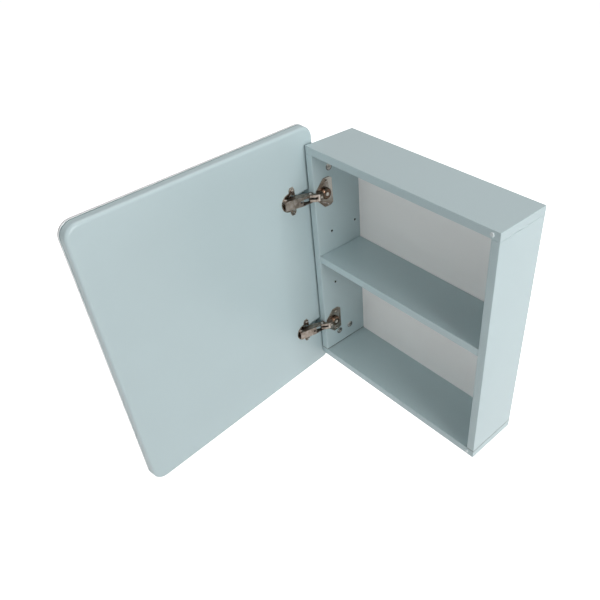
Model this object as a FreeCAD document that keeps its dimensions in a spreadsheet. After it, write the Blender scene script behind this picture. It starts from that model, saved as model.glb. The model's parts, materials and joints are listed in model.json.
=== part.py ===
import FreeCAD, Part
import math
import os
import Sketcher
from types import SimpleNamespace

# Mirror cabinet, in millimetres. The origin is the centre of the carcass back face, the front faces -Y.
# The door is modelled in the open position of the picture and swings on two concealed hinges.
sizes = {
    # carcass boards
    "carcass_width": 444,
    "carcass_height": 508,
    "carcass_depth": 118,
    "board": 16,
    "board_arris": 0.9,
    "back_thickness": 3,
    "back_rebate": 8,
    "back_clearance": 0.4,
    "shelf_setback": 1,
    "shelf_clearance": 0.5,
    "rail_height": 60,
    "wall_hole_spacing": 320,
    "wall_hole_radius": 3,
    "wall_hole_drop": 30,
    # joinery; columns are measured back from the front plane
    "cut_overrun": 2,
    "snug_fit": 0.05,
    "pin_radius": 2.5,
    "pin_embed": 8,
    "pin_reach": 9,
    "pin_row_pitch": 64,
    "pin_front_column": 37,
    "pin_back_column": 101,
    "cam_radius": 7.5,
    "cam_depth": 12.5,
    "cam_end_distance": 34,
    "cam_front_column": 40,
    "cam_back_column": 72,
    "cam_cross_length": 8,
    "cam_cross_width": 1.6,
    "cam_cross_depth": 2.5,
    "bolt_radius": 3,
    "bolt_clearance": 0.4,
    "bolt_thread": 11,
    "bolt_end_gap": 1,
    "dowel_radius": 4,
    "dowel_board_depth": 10,
    "dowel_end_depth": 20,
    "dowel_front_column": 16,
    "dowel_back_column": 96,
    "dowel_bottom_gap": 1,
    "rail_dowel_inset": 15,
    "nail_radius": 0.8,
    "nail_length": 12,
    "nail_head_radius": 2.2,
    "nail_head_height": 0.8,
    "nail_edge": 4,
    "nail_height_spread": 200,
    "nail_width_spread": 120,
    "bumper_radius": 4,
    "bumper_height": 2,
    "bumper_round": 1.2,
    "bumper_inset": 15,
    # door
    "mirror_width": 484.3,
    "mirror_height": 565,
    "mirror_corner": 25,
    "mirror_thickness": 4,
    "mirror_arris": 0.5,
    "door_thickness": 16,
    "door_inset": 1,
    "door_inner_round": 6,
    "door_outer_arris": 0.6,
    "door_drop": 23.7,
    "door_hinge_end": 25.6,
    "door_rest_out": 4.4,
    "open_angle": 84.57,
    "tape_thickness": 0.8,
    "tape_width": 25,
    "tape_length": 440,
    "tape_pitch": 130,
    # concealed hinges
    "lower_hinge_height": 91,
    "upper_hinge_drop": 99,
    "pivot_fit": 0.05,
    "arm_pivot_back": 1.44,
    "arm_pivot_out": 8.63,
    "guide_pivot_back": 7,
    "guide_pivot_out": 3,
    "cup_pivot_along": 60,
    "cup_pivot_height": 3,
    "guide_cup_along": 46,
    "guide_cup_depth": 3,
    "layer_gap": 0.35,
    "inner_link_half": 1.9,
    "cheek_thickness": 5,
    "link_wall": 1.7,
    "pivot_radius": 1.75,
    "guide_pin_radius": 1.25,
    # mounting plate and its screws
    "plate_thickness": 2,
    "plate_front": 4,
    "plate_back": 44,
    "plate_waist": 10,
    "plate_reach": 30.5,
    "plate_tip_front": 23,
    "plate_shoulder": 26,
    "plate_tip_back": 37,
    "plate_corner": 2,
    "spine_front": 7,
    "spine_back": 36,
    "spine_half": 4,
    "spine_rise": 2.5,
    "plate_screw_column": 29,
    "plate_screw_height": 24,
    "screw_radius": 2,
    "screw_length": 13,
    "screw_head_radius": 3.8,
    "screw_head_height": 1.8,
    "screw_head_round": 0.8,
    "screw_cross_length": 4.4,
    "screw_cross_width": 0.9,
    "screw_cross_depth": 1.2,
    # hinge arm
    "arm_seat_gap": 0.2,
    "arm_rise": 11,
    "arm_tail_rise": 6.5,
    "arm_tail_web": 1.5,
    "arm_wall": 1.5,
    "arm_back": 35,
    "arm_tail_front": 15.5,
    "arm_crown_back": 13,
    "arm_crown_front": 5,
    "arm_throat_rise": 6.5,
    "arm_throat_out": 4.5,
    "arm_edge_round": 1.6,
    "nose_gap": 0.5,
    "nose_radius": 3.4,
    "guide_eye_radius": 2.5,
    "bridge_front": 1,
    "bridge_back": 5,
    "depth_screw_column": 24.5,
    "side_screw_column": 9,
    "adjust_screw_radius": 2.4,
    "adjust_screw_depth": 3,
    "adjust_screw_seat": 4.9,
    "adjust_head_radius": 3.6,
    "adjust_head_height": 1.4,
    "side_screw_rise": 11.8,
    "cap_radius": 12,
    "cap_base": 3.2,
    "cap_rise": 9.5,
    "cap_round": 4.4,
    # links
    "link_eye_radius": 3.6,
    "link_rise": 6.5,
    "link_web": 1.6,
    "link_web_start": 18,
    "link_neck": 8,
    "link_neck_rise": 4,
    "link_belly_start": 16,
    "link_belly_end": 32,
    "link_belly_depth": 8.3,
    "link_toe": 4,
    "link_window_start": 20,
    "link_window_length": 4,
    "link_window_half": 2.4,
    "guide_slot_half": 2.4,
    "guide_slot_travel": 2.6,
    "guide_head_half": 3.7,
    # cup
    "cup_radius": 17.4,
    "cup_depth": 12,
    "cup_wall": 1,
    "cup_along": 50,
    "cup_fit": 0.1,
    "cup_flange": 1.2,
    "cup_flange_radius": 18.6,
    "cup_wing_reach": 29,
    "cup_wing_half": 7,
    "cup_wing_tip_half": 4,
    "cup_screw_reach": 23.5,
    "cup_screw_offset": 8.5,
    "cup_lug_wall": 1.3,
    "cup_lug_half": 4,
    "cup_lug_rise": 6.8,
    "guide_lug_wall": 1.8,
    "guide_lug_half": 3,
    "guide_lug_rise": 0.8,
    "channel_clearance": 0.5,
    "channel_start": 3,
    "spring_length": 18,
    "spring_gap": 0.45,
    "spring_thickness": 1.6,
}


class Size:
    """A length with its number and the sheet expression that gives it."""

    def __init__(self, text, value):
        self.text = text
        self.value = value

    def __float__(self):
        return float(self.value)

    def joined(self, sign, other, value, swapped=False):
        ours, theirs = self.text, other.text if isinstance(other, Size) else repr(other)
        first, second = (theirs, ours) if swapped else (ours, theirs)
        return Size(f"({first} {sign} {second})", value)

    def __add__(self, other):
        return self.joined("+", other, self.value + float(other))

    def __radd__(self, other):
        return self.joined("+", other, float(other) + self.value, True)

    def __sub__(self, other):
        return self.joined("-", other, self.value - float(other))

    def __rsub__(self, other):
        return self.joined("-", other, float(other) - self.value, True)

    def __mul__(self, other):
        return self.joined("*", other, self.value * float(other))

    __rmul__ = __mul__

    def __truediv__(self, other):
        return self.joined("/", other, self.value / float(other))

    def __neg__(self):
        return Size(f"(-{self.text})", -self.value)


def sine(angle):
    return Size(f"sin({angle.text})", math.sin(math.radians(angle.value)))


def cosine(angle):
    return Size(f"cos({angle.text})", math.cos(math.radians(angle.value)))


def span_between(start, end):
    run, rise = end[0] - start[0], end[1] - start[1]
    return Size(f"sqrt({run.text}^2 + {rise.text}^2)", math.hypot(run.value, rise.value))


def heading(start, end):
    run, rise = end[0] - start[0], end[1] - start[1]
    return Size(f"atan2({rise.text}; {run.text})", math.degrees(math.atan2(rise.value, run.value)))


doc = FreeCAD.newDocument("mirror_cabinet")
sheet = doc.addObject("Spreadsheet::Sheet", "dims")
for row, (alias, value) in enumerate(sizes.items(), start=1):
    sheet.set(f"A{row}", alias)
    sheet.set(f"B{row}", str(value))
    sheet.setAlias(f"B{row}", alias)
doc.recompute()
d = SimpleNamespace(**{alias: Size(f"dims.{alias}", value) for alias, value in sizes.items()})
subparts = []


def bind(item, prop, size):
    if isinstance(size, Size):
        item.setExpression(prop, size.text)


def place(item, base, axis=(0, 0, 1), angle=0):
    turn = FreeCAD.Rotation(FreeCAD.Vector(*axis), float(angle))
    item.Placement = FreeCAD.Placement(FreeCAD.Vector(*map(float, base)), turn)
    for letter, size in zip("xyz", base):
        bind(item, f"Placement.Base.{letter}", size)
    bind(item, "Placement.Rotation.Angle", angle)
    return item


def finished(item, label):
    item.Label = label
    subparts.append(item)
    return item


def box(spans, corner):
    item = doc.addObject("Part::Box", "box")
    for prop, size in zip(("Length", "Width", "Height"), spans):
        setattr(item, prop, float(size))
        bind(item, prop, size)
    return place(item, corner)


# a rod starts at one end and runs along the named axis
rod_turns = {
    "x": ((0, 1, 0), 90),
    "-x": ((0, 1, 0), -90),
    "y": ((1, 0, 0), -90),
    "-y": ((1, 0, 0), 90),
    "z": ((0, 0, 1), 0),
}


def rod(radius, length, start, along="z"):
    item = doc.addObject("Part::Cylinder", "rod")
    for prop, size in (("Radius", radius), ("Height", length)):
        setattr(item, prop, float(size))
        bind(item, prop, size)
    return place(item, start, *rod_turns[along])


def group(members):
    item = doc.addObject("Part::Compound", "group")
    item.Links = members
    return item


def fused(members):
    item = doc.addObject("Part::MultiFuse", "fused")
    item.Shapes = members
    return item


def cut(base, tools):
    item = doc.addObject("Part::Cut", "cut")
    item.Base = base
    item.Tool = group(tools)
    return item


def edge_numbers(item, wanted):
    doc.recompute()
    return [number for number, edge in enumerate(item.Shape.Edges, start=1) if wanted(edge)]


def rounded(item, radius, wanted):
    result = doc.addObject("Part::Fillet", "rounded")
    result.Base = item
    result.Edges = [(number, float(radius), float(radius)) for number in edge_numbers(item, wanted)]
    return result


def every_edge(edge):
    return True


# solid bodies drawn as sketches and raised or cut
def new_body(label, base, angle=0):
    body = doc.addObject("PartDesign::Body", label)
    place(body, base, (0, 0, 1), angle)
    return finished(body, label)


def sketch(body, plane, lift=0, outlines=(), circles=()):
    item = body.newObject("Sketcher::SketchObject", "sketch")
    origin_plane = [part for part in body.Origin.OriginFeatures if part.Role == plane][0]
    item.AttachmentSupport = [(origin_plane, "")]
    item.MapMode = "FlatFace"
    item.AttachmentOffset = FreeCAD.Placement(FreeCAD.Vector(0, 0, float(lift)), FreeCAD.Rotation())
    bind(item, "AttachmentOffset.Base.z", lift)
    for outline in outlines:
        draw_outline(item, outline)
    for across, up, radius in circles:
        draw_circle(item, across, up, radius)
    return item


def pin_point(item, line, point, across, up):
    for kind, size, axis in (("DistanceX", across, -2), ("DistanceY", up, -1)):
        if isinstance(size, Size):
            index = item.addConstraint(Sketcher.Constraint(kind, -1, 1, line, point, float(size)))
            item.setExpression(f"Constraints[{index}]", size.text)
        else:
            item.addConstraint(Sketcher.Constraint("PointOnObject", line, point, axis))


def draw_outline(item, outline):
    spots = [FreeCAD.Vector(float(across), float(up), 0) for across, up in outline]
    lines = [item.addGeometry(Part.LineSegment(spot, spots[(number + 1) % len(spots)]), False)
             for number, spot in enumerate(spots)]
    for number, line in enumerate(lines):
        item.addConstraint(Sketcher.Constraint("Coincident", line, 2, lines[(number + 1) % len(lines)], 1))
    for line, (across, up) in zip(lines, outline):
        pin_point(item, line, 1, across, up)


def draw_circle(item, across, up, radius):
    ring = Part.Circle(FreeCAD.Vector(float(across), float(up), 0), FreeCAD.Vector(0, 0, 1), float(radius))
    line = item.addGeometry(ring, False)
    pin_point(item, line, 3, across, up)
    index = item.addConstraint(Sketcher.Constraint("Radius", line, float(radius)))
    item.setExpression(f"Constraints[{index}]", radius.text)


def extrude(kind, body, profile, length, symmetric, reverse):
    item = body.newObject(f"PartDesign::{kind}", kind.lower())
    item.Profile = profile
    item.Length = float(length)
    bind(item, "Length", length)
    item.SideType = "Symmetric" if symmetric else "One side"
    item.Reversed = reverse
    body.Tip = item
    doc.recompute()
    return item


def pad(body, profile, length, symmetric=False, reverse=False):
    return extrude("Pad", body, profile, length, symmetric, reverse)


def pocket(body, profile, length, symmetric=False, reverse=False):
    return extrude("Pocket", body, profile, length, symmetric, reverse)


def soften(body, radius, wanted):
    base = body.Tip
    item = body.newObject("PartDesign::Fillet", "soften")
    item.Base = (base, [f"Edge{number}" for number in edge_numbers(base, wanted)])
    item.Radius = float(radius)
    bind(item, "Radius", radius)
    body.Tip = item
    doc.recompute()
    return item


def frame_outline(left, right, low, high):
    return [(left, low), (right, low), (right, high), (left, high)]


# positions shared by several pieces
left = -(d.carcass_width / 2)
right = d.carcass_width / 2
front = -d.carcass_depth
low = -(d.carcass_height / 2)
high = d.carcass_height / 2
over = d.cut_overrun
back_front = -d.back_thickness
inner_width = d.carcass_width - 2 * d.board
side_height = d.carcass_height - 2 * d.board
rail_low = high - d.board - d.rail_height
rail_front = back_front - d.board
wall_hole_height = high - d.board - d.wall_hole_drop
hinge_heights = {"upper": high - d.upper_hinge_drop, "lower": low + d.lower_hinge_height}
sides = ((left, 1), (right, -1))
ends = ((low, 1), (high, -1))

cheek_in = d.inner_link_half + d.layer_gap
arm_half = cheek_in + d.cheek_thickness
link_in = arm_half + d.layer_gap
link_half = link_in + d.link_wall
lug_in = link_half + d.layer_gap
lug_out = lug_in + d.cup_lug_wall
channel_half = link_half + d.channel_clearance
arm_lift = d.plate_thickness + d.arm_seat_gap
screw_bore = d.screw_radius + d.snug_fit
pivot_bore = d.pivot_radius + d.pivot_fit
guide_bore = d.guide_pin_radius + d.pivot_fit
cup_screw_along = d.cup_along - d.cup_screw_offset
spring_half = cheek_in - d.spring_gap


def inward(face, direction, depth):
    return face + depth if direction > 0 else face - depth


# rebates for the back panel in the four outer boards
def back_rebate(span_x, span_z, corner_x, corner_z):
    return box((span_x, d.back_thickness + over, span_z), (corner_x, back_front, corner_z))


rebate_left = left + d.board - d.back_rebate
rebate_low = low + d.board - d.back_rebate
rebate_width = d.carcass_width - 2 * (d.board - d.back_rebate)
rebate_height = d.carcass_height - 2 * (d.board - d.back_rebate)
back_left = rebate_left + d.back_clearance
back_low = rebate_low + d.back_clearance
back_width = rebate_width - 2 * d.back_clearance
back_height = rebate_height - 2 * d.back_clearance
nail_in = d.nail_edge + d.back_clearance
nail_spots = [(x, z) for z in (rebate_low + nail_in, rebate_low + rebate_height - nail_in)
              for x in (-d.nail_width_spread, d.nail_width_spread)]
nail_spots += [(x, z) for x in (rebate_left + nail_in, rebate_left + rebate_width - nail_in)
               for z in (-d.nail_height_spread, 0, d.nail_height_spread)]


def nail_bores():
    bore = d.nail_radius + d.snug_fit
    return [rod(bore, d.nail_length + over, (x, over, z), "-y") for x, z in nail_spots]


# bolts and dowels that join the boards: each at a side, an end and a column
def bolt_spots():
    for face, toward_middle in sides:
        for end, toward_centre in ends:
            for column in (d.cam_front_column, d.cam_back_column):
                yield face, toward_middle, end, toward_centre, front + column


def dowel_spots():
    for face, toward_middle in sides:
        for end, toward_centre in ends:
            for column in (d.dowel_front_column, d.dowel_back_column):
                middle = inward(face, toward_middle, d.board / 2)
                yield middle, front + column, inward(end, toward_centre, d.board), toward_centre


def upright(radius, above, below, spot):
    x, y, joint = spot
    return rod(radius, above + below, (x, y, joint - below))


def across_joint(radius, in_board, in_side, middle, y, joint, toward_centre):
    above, below = (in_side, in_board) if toward_centre > 0 else (in_board, in_side)
    return upright(radius, above, below, (middle, y, joint))


def bolt_rods(radius, end_gap, deeper):
    rods = []
    for face, toward_middle, end, toward_centre, y in bolt_spots():
        middle = inward(face, toward_middle, d.board / 2)
        joint = inward(end, toward_centre, d.board)
        reach = d.cam_end_distance - end_gap
        rods.append(across_joint(radius, d.bolt_thread + deeper, reach, middle, y, joint, toward_centre))
    return rods


def dowel_rods(radius, deeper):
    return [across_joint(radius, d.dowel_board_depth + deeper, d.dowel_end_depth + deeper, *spot)
            for spot in dowel_spots()]


def rail_dowel_rods(radius, deeper):
    rods = []
    y = rail_front + d.board / 2
    for z in (rail_low + d.rail_dowel_inset, rail_low + d.rail_height - d.rail_dowel_inset):
        start = left + d.board - d.dowel_board_depth - deeper
        length = d.dowel_board_depth + d.dowel_end_depth + 2 * deeper
        rods.append(rod(radius, length, (start, y, z), "x"))
        rods.append(rod(radius, length, (-start, y, z), "-x"))
    return rods


def cam_rods(radius, depth, deeper):
    rods = []
    for face, toward_middle, end, toward_centre, y in bolt_spots():
        mouth = inward(face, toward_middle, d.board)
        z = inward(inward(end, toward_centre, d.board), toward_centre, d.cam_end_distance)
        start = inward(mouth, toward_middle, deeper)
        rods.append(rod(radius, depth + deeper, (start, y, z), "-x" if toward_middle > 0 else "x"))
    return rods


def pin_rods(radius, embed, reach, rows):
    rods = []
    for face, toward_middle in sides:
        mouth = inward(face, toward_middle, d.board)
        for column in (d.pin_front_column, d.pin_back_column):
            for z in rows:
                start = inward(mouth, -toward_middle, embed)
                along = "x" if toward_middle > 0 else "-x"
                rods.append(rod(radius, embed + reach, (start, front + column, z), along))
    return rods


def plate_screw_bores():
    rods = []
    mouth = left + d.board + over
    for z in hinge_heights.values():
        for offset in (-d.plate_screw_height, d.plate_screw_height):
            spot = (mouth, front + d.plate_screw_column, z + offset)
            rods.append(rod(screw_bore, d.screw_length + over, spot, "-x"))
    return rods


bolt_bore = d.bolt_radius + d.snug_fit
dowel_bore = d.dowel_radius + d.snug_fit


def joint_bores():
    clear = d.bolt_radius + d.bolt_clearance
    bores = bolt_rods(clear, d.bolt_end_gap, d.bolt_end_gap)
    return bores + dowel_rods(dowel_bore, d.dowel_bottom_gap)


def board_blank(spans, corner):
    return rounded(box(spans, corner), d.board_arris, every_edge)


# top and bottom boards run the full width, the sides stand between them
back_rebates = (rebate_width, rebate_height, rebate_left, rebate_low)
for label, z in (("bottom_panel", low), ("top_panel", high - d.board)):
    blank = board_blank((d.carcass_width, d.carcass_depth, d.board), (left, front, z))
    finished(cut(blank, [back_rebate(*back_rebates)] + nail_bores() + joint_bores()), label)

pin_rows = (-d.pin_row_pitch, 0, d.pin_row_pitch)
for label, x in (("left_side_panel", left), ("right_side_panel", right - d.board)):
    blank = board_blank((d.board, d.carcass_depth, side_height), (x, front, low + d.board))
    tools = [back_rebate(*back_rebates)] + nail_bores() + joint_bores()
    tools += cam_rods(d.cam_radius + d.snug_fit, d.cam_depth, over)
    tools += pin_rods(d.pin_radius + d.snug_fit, d.pin_embed, over, pin_rows)
    tools += rail_dowel_rods(dowel_bore, d.dowel_bottom_gap)
    if label == "left_side_panel":
        tools += plate_screw_bores()
    finished(cut(blank, tools), label)

wall_bores = [rod(d.wall_hole_radius, d.board + d.back_thickness + 2 * over,
                  (x, rail_front - over, wall_hole_height), "y")
              for x in (-(d.wall_hole_spacing / 2), d.wall_hole_spacing / 2)]
nail_head_bores = [rod(d.nail_head_radius + d.snug_fit, d.nail_head_height + over, (x, over, z), "-y")
                   for x, z in nail_spots]
back_blank = box((back_width, d.back_thickness, back_height), (back_left, back_front, back_low))
finished(cut(back_blank, wall_bores + nail_bores() + nail_head_bores), "back_panel")

rail_blank = board_blank((inner_width, d.board, d.rail_height), (left + d.board, rail_front, rail_low))
rail_tools = rail_dowel_rods(dowel_bore, d.dowel_bottom_gap)
finished(cut(rail_blank, wall_bores + rail_tools), "hanging_rail")

shelf_depth = d.carcass_depth - d.back_thickness - d.shelf_setback - d.shelf_clearance
shelf_width = inner_width - 2 * d.shelf_clearance
shelf_corner = (left + d.board + d.shelf_clearance, front + d.shelf_setback, d.pin_radius)
finished(board_blank((shelf_width, shelf_depth, d.board), shelf_corner), "shelf")

finished(group(pin_rods(d.pin_radius, d.pin_embed, d.pin_reach, (0,))), "shelf_pins")


def cam_housing(blank, face, toward_middle, end, toward_centre, y):
    joint = inward(end, toward_centre, d.board)
    z = inward(joint, toward_centre, d.cam_end_distance)
    middle = inward(face, toward_middle, d.board / 2)
    clear = d.bolt_radius + d.bolt_clearance
    bore_base = z - d.cam_radius - over if toward_centre > 0 else z
    bore = rod(clear, d.cam_radius + over, (middle, y, bore_base))
    mouth = inward(face, toward_middle, d.board)
    recess_x = mouth - d.cam_cross_depth if toward_middle > 0 else mouth - over
    recess_depth = d.cam_cross_depth + over
    arms = [box((recess_depth, d.cam_cross_length, d.cam_cross_width),
                (recess_x, y - d.cam_cross_length / 2, z - d.cam_cross_width / 2)),
            box((recess_depth, d.cam_cross_width, d.cam_cross_length),
                (recess_x, y - d.cam_cross_width / 2, z - d.cam_cross_length / 2))]
    return cut(blank, [bore, fused(arms)])


cam_blanks = cam_rods(d.cam_radius, d.cam_depth, 0)
finished(group([cam_housing(blank, *spot) for blank, spot in zip(cam_blanks, bolt_spots())]), "cam_housings")
finished(group(bolt_rods(d.bolt_radius, d.bolt_end_gap, 0)), "cam_bolts")
finished(group(dowel_rods(d.dowel_radius, 0)), "panel_dowels")
finished(group(rail_dowel_rods(d.dowel_radius, 0)), "rail_dowels")

nails = [fused([rod(d.nail_radius, d.nail_length, (x, 0, z), "-y"),
                rod(d.nail_head_radius, d.nail_head_height, (x, 0, z), "-y")]) for x, z in nail_spots]
finished(group(nails), "back_panel_nails")


def tip_edge(edge):
    return abs(edge.BoundBox.YMax - float(front - d.bumper_height)) < float(d.snug_fit)


bumper_x = right - d.bumper_inset
bumper_rods = [rod(d.bumper_radius, d.bumper_height, (bumper_x, front, z), "-y")
               for z in (low + d.board / 2, high - d.board / 2)]
finished(group([rounded(stub, d.bumper_round, tip_edge) for stub in bumper_rods]), "door_bumpers")

# door pieces share one frame: X along the door from the hinges, Y out of its inner face
turn = -d.open_angle
along_x, along_y = cosine(d.open_angle), -sine(d.open_angle)
door_x, door_y = left - d.door_rest_out, front
mirror_left = -d.door_hinge_end
mirror_right = mirror_left + d.mirror_width
mirror_low = low - d.door_drop
mirror_high = mirror_low + d.mirror_height


def door_point(along, height):
    return (door_x + along * along_x - height * along_y, door_y + along * along_y + height * along_x)


def depth_edge(edge):
    bounds = edge.BoundBox
    return bounds.YLength > bounds.XLength + bounds.ZLength


def inner_rim(edge):
    return edge.BoundBox.YMin > -float(d.snug_fit)


panel = new_body("door_panel", (door_x, door_y, 0), turn)
panel_outline = frame_outline(mirror_left + d.door_inset, mirror_right - d.door_inset,
                              mirror_low + d.door_inset, mirror_high - d.door_inset)
pad(panel, sketch(panel, "XZ_Plane", 0, [panel_outline]), d.door_thickness)
soften(panel, d.mirror_corner - d.door_inset, depth_edge)
soften(panel, d.door_inner_round, inner_rim)
soften(panel, d.door_outer_arris, lambda edge: edge.BoundBox.YMax < -float(d.door_thickness - d.snug_fit))
recess_depth = d.cup_depth + d.cup_fit
cup_bore = d.cup_radius + d.cup_fit
cup_holes = [(d.cup_along, z, cup_bore) for z in hinge_heights.values()]
pocket(panel, sketch(panel, "XZ_Plane", 0, circles=cup_holes), recess_depth, reverse=True)
channels = [frame_outline(-d.channel_start, d.cup_along, z - channel_half, z + channel_half)
            for z in hinge_heights.values()]
pocket(panel, sketch(panel, "XZ_Plane", 0, channels), recess_depth, reverse=True)
screw_holes = [(cup_screw_along, z + offset, screw_bore) for z in hinge_heights.values()
               for offset in (-d.cup_screw_reach, d.cup_screw_reach)]
pocket(panel, sketch(panel, "XZ_Plane", 0, circles=screw_holes), d.screw_length, reverse=True)

mirror = new_body("mirror_glass", (door_x, door_y, 0), turn)
mirror_outline = frame_outline(mirror_left, mirror_right, mirror_low, mirror_high)
mirror_lift = d.door_thickness + d.tape_thickness
pad(mirror, sketch(mirror, "XZ_Plane", mirror_lift, [mirror_outline]), d.mirror_thickness)
soften(mirror, d.mirror_corner, depth_edge)
soften(mirror, d.mirror_arris, lambda edge: not depth_edge(edge))

door_middle = mirror_left + d.mirror_width / 2
door_centre = mirror_low + d.mirror_height / 2
strips = [box((d.tape_width, d.tape_thickness, d.tape_length),
              (door_middle + number * d.tape_pitch - d.tape_width / 2, -mirror_lift,
               door_centre - d.tape_length / 2)) for number in (-1, 0, 1)]
finished(place(group(strips), (door_x, door_y, 0), (0, 0, 1), turn), "mirror_tape")

# pivots in plan: two on each arm, two on each cup
arm_pivot = (left + d.board - d.arm_pivot_back, front - d.arm_pivot_out)
guide_pivot = (left + d.board - d.guide_pivot_back, front - d.guide_pivot_out)
cup_pivot = door_point(d.cup_pivot_along, d.cup_pivot_height)
guide_cup = door_point(d.guide_cup_along, -d.guide_cup_depth)
outer_length = span_between(arm_pivot, cup_pivot)
inner_length = span_between(guide_pivot, guide_cup)


def along_x_edge(edge):
    bounds = edge.BoundBox
    return bounds.XLength > bounds.YLength + bounds.ZLength


# a round-headed screw with a cross recess, its head seat at the origin, pointing down
def cross_screw():
    shank = rod(d.screw_radius, d.screw_length, (0, 0, -d.screw_length))
    head = rounded(rod(d.screw_head_radius, d.screw_head_height, (0, 0, 0)), d.screw_head_round,
                   lambda edge: edge.BoundBox.ZMin > float(d.screw_head_height - d.snug_fit))
    bottom = d.screw_head_height - d.screw_cross_depth
    long_arm, short_arm = d.screw_cross_length, d.screw_cross_width
    deep = d.screw_cross_depth + over
    slots = [box((long_arm, short_arm, deep), (-(long_arm / 2), -(short_arm / 2), bottom)),
             box((short_arm, long_arm, deep), (-(short_arm / 2), -(long_arm / 2), bottom))]
    return cut(fused([shank, head]), [fused(slots)])


# a slotted adjusting screw standing on its tip, pointing along X
def adjust_screw(low_x, high_x, column, head_x=None):
    length = high_x - low_x
    pieces = [rod(d.adjust_screw_radius, length, (low_x, column, 0), "x")]
    slot_x = high_x - d.screw_cross_depth
    slot_half = d.adjust_screw_radius
    if head_x is not None:
        pieces.append(rod(d.adjust_head_radius, high_x - head_x, (head_x, column, 0), "x"))
        slot_half = d.adjust_head_radius - d.screw_head_round
    slots = [box((d.screw_cross_depth + over, 2 * slot_half, d.screw_cross_width),
                 (slot_x, column - slot_half, -(d.screw_cross_width / 2))),
             box((d.screw_cross_depth + over, d.screw_cross_width, 2 * slot_half),
                 (slot_x, column - d.screw_cross_width / 2, -slot_half))]
    body = fused(pieces) if len(pieces) > 1 else pieces[0]
    return cut(body, [fused(slots)])


def build_plate(label, base):
    plate = new_body(label, base)
    wings = [(d.plate_front, -d.plate_waist), (d.plate_tip_front, -d.plate_reach),
             (d.plate_tip_back, -d.plate_reach), (d.plate_back, -d.plate_shoulder),
             (d.plate_back, d.plate_shoulder), (d.plate_tip_back, d.plate_reach),
             (d.plate_tip_front, d.plate_reach), (d.plate_front, d.plate_waist)]
    pad(plate, sketch(plate, "YZ_Plane", 0, [wings]), d.plate_thickness)
    soften(plate, d.plate_corner, along_x_edge)
    spine = frame_outline(d.spine_front, d.spine_back, -d.spine_half, d.spine_half)
    pad(plate, sketch(plate, "YZ_Plane", d.plate_thickness, [spine]), d.spine_rise)
    bores = [(d.plate_screw_column, z, screw_bore) for z in (-d.plate_screw_height, d.plate_screw_height)]
    bores.append((d.depth_screw_column, 0, d.adjust_screw_radius + d.snug_fit))
    through = d.plate_thickness + d.spine_rise
    pocket(plate, sketch(plate, "YZ_Plane", 0, circles=bores), through, reverse=True)


def build_arm(label, base):
    arm = new_body(label, base)
    pivot_x, pivot_y = -d.arm_pivot_back, -d.arm_pivot_out
    guide_x, guide_y = -d.guide_pivot_back, -d.guide_pivot_out
    nose = d.nose_radius
    profile = [(arm_lift, d.arm_back), (d.arm_tail_rise, d.arm_back), (d.arm_tail_rise, d.arm_tail_front),
               (d.arm_rise, d.arm_crown_back), (d.arm_rise, d.arm_crown_front),
               (d.arm_throat_rise, -d.arm_throat_out), (pivot_x + nose, pivot_y), (pivot_x, pivot_y - nose),
               (guide_x - d.guide_eye_radius, guide_y), (guide_x, -d.nose_gap), (0, -d.nose_gap),
               (arm_lift, d.bridge_front)]
    pad(arm, sketch(arm, "XY_Plane", 0, [profile]), 2 * arm_half, symmetric=True)
    eyes = [(pivot_x, pivot_y, nose)]
    pad(arm, sketch(arm, "XY_Plane", 0, circles=eyes), 2 * arm_half, symmetric=True)
    guide_eyes = [(guide_x, guide_y, d.guide_eye_radius)]
    pad(arm, sketch(arm, "XY_Plane", 0, circles=guide_eyes), 2 * arm_half, symmetric=True)
    slot = frame_outline(guide_x - 2 * nose, 2 * d.arm_rise, pivot_y - 2 * nose, d.bridge_front)
    pocket(arm, sketch(arm, "XY_Plane", 0, [slot]), 2 * cheek_in, symmetric=True)
    belly = frame_outline(0, d.arm_tail_rise - d.arm_tail_web, d.bridge_back, d.arm_back + over)
    pocket(arm, sketch(arm, "XY_Plane", 0, [belly]), 2 * (arm_half - d.arm_wall), symmetric=True)
    for spot in ((pivot_x, pivot_y, pivot_bore), (guide_x, guide_y, guide_bore)):
        pocket(arm, sketch(arm, "XY_Plane", 0, circles=[spot]), 3 * arm_half, symmetric=True)
    bores = [(y, 0, d.adjust_screw_radius + d.snug_fit) for y in (d.depth_screw_column, d.side_screw_column)]
    pocket(arm, sketch(arm, "YZ_Plane", 0, circles=bores), d.arm_rise + over, reverse=True)
    top, flat = float(d.arm_rise - d.snug_fit), float(d.snug_fit)
    soften(arm, d.arm_edge_round,
           lambda edge: edge.BoundBox.XMin > top and edge.BoundBox.ZLength < flat)


# a domed cap astride the arm's tail, notched for its crown, with a seat for the depth screw's head
cap_seat = d.cap_rise - d.adjust_head_height


def arm_cap():
    column = d.depth_screw_column
    dome = rounded(rod(d.cap_radius, d.cap_rise - d.cap_base, (d.cap_base, column, 0), "x"), d.cap_round,
                   lambda edge: edge.BoundBox.XMin > float(d.cap_rise - d.snug_fit))
    half = arm_half + d.snug_fit
    tail = box((d.arm_tail_rise + d.snug_fit, 4 * d.cap_radius, 2 * half),
               (0, column - 2 * d.cap_radius, -half))
    notch = box((d.cap_rise + over, 2 * d.cap_radius, 2 * half),
                (0, d.arm_tail_front + d.snug_fit - 2 * d.cap_radius, -half))
    shank_bore = rod(d.adjust_screw_radius + d.snug_fit, d.cap_rise + over, (0, column, 0), "x")
    head_bore = rod(d.adjust_head_radius + d.snug_fit, d.adjust_head_height + over,
                    (cap_seat, column, 0), "x")
    return cut(dome, [tail, notch, shank_bore, head_bore])


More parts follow.
